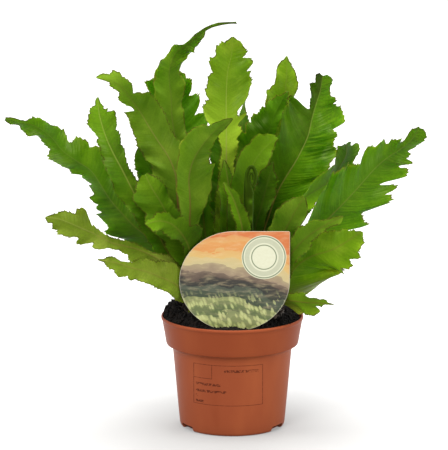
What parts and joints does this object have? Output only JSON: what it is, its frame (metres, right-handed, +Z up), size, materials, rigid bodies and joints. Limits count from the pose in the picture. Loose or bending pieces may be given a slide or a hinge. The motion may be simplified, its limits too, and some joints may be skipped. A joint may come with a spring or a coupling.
{
  "type": "potted fern",
  "caption": "Fern with long wavy lobed fronds growing from a round tapered plastic nursery pot of dark soil, with an upright picture card pushed in at the front.",
  "frame": {"origin": "centre of the pot's flat underside, on the pot's axis", "axes": "+Z up along the pot's axis; the picture card stands on the -Y side, and +X is to the right seen from there"},
  "size_m": [0.3453, 0.2316, 0.3454],
  "materials": {
    "pot": "thin terracotta-coloured moulded plastic, satin",
    "soil": "dark damp potting soil with crumbs and fibres",
    "crown": "brown scaly rootstock",
    "card": "printed plastic card, semi-gloss",
    "frond": "soft satin leaf, mid green",
    "frond_young": "soft satin leaf, bright yellow-green",
    "frond_olive": "soft satin leaf, pale olive underside",
    "frond_shaded": "soft satin leaf, deep green"
  },
  "bodies": {
    "root": {"pot": "pot", "soil": "soil", "crown": "crown", "picture_card": "card", "frond_left_long": "frond", "frond_left_upright": "frond", "frond_centre_left": "frond", "frond_tallest": "frond", "frond_dark_behind_tallest": "frond_shaded", "frond_curved_front": "frond", "frond_bright_upright": "frond_young", "frond_light_point": "frond_young", "frond_dark_serrated": "frond_shaded", "frond_right_centre": "frond", "frond_young_light": "frond_young", "frond_far_right": "frond", "frond_right_narrow": "frond", "frond_lower_right": "frond", "frond_olive_right": "frond_olive", "frond_low_right": "frond_olive", "frond_low_left_upper": "frond_olive", "frond_low_left_lower": "frond_olive", "frond_short_front": "frond_young", "frond_mid_left": "frond", "frond_dark_left": "frond_shaded", "frond_right_olive_mid": "frond_olive", "frond_dark_centre_right": "frond_shaded", "frond_centre_green": "frond", "frond_centre_small": "frond", "frond_coiled": "frond_shaded", "frond_back_left_tall": "frond", "frond_back_centre": "frond", "frond_back_right_tall": "frond", "frond_back_right": "frond", "frond_back_left": "frond", "frond_back_upright_left": "frond", "frond_back_upright_right": "frond", "frond_back_low_left": "frond_olive", "frond_back_low_right": "frond_olive", "frond_back_low_centre_left": "frond", "frond_back_low_centre_right": "frond"}
  },
  "joints": []
}
